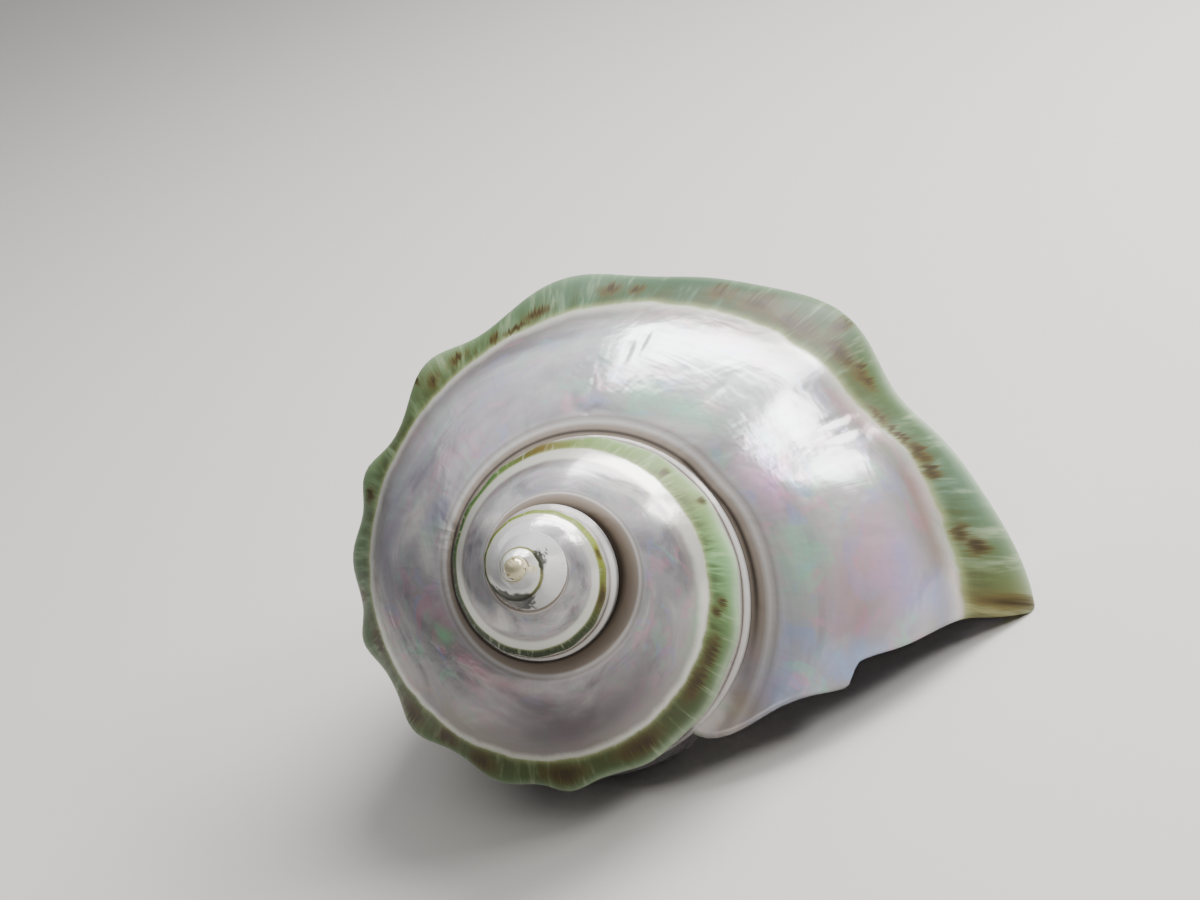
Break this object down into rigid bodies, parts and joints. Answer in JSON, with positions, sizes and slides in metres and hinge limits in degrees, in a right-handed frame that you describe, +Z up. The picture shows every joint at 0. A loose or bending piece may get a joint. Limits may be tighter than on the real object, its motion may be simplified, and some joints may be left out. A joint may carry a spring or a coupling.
{
  "type": "sea snail shell",
  "caption": "Polished turban sea snail shell with a knobbed green shoulder keel, a stepped spire and a wide round mouth, lying on its mouth.",
  "frame": {"origin": "on the surface that the shell rests on, under the middle of its bounding box", "axes": "+Z up, +X towards the end of the lip, -Y towards the side that the spire points to"},
  "size_m": [0.165, 0.1376, 0.1009],
  "materials": {
    "shell": "polished mother-of-pearl, green outer layer left along the keel"
  },
  "bodies": {
    "root": {"shell": "shell"}
  },
  "joints": []
}
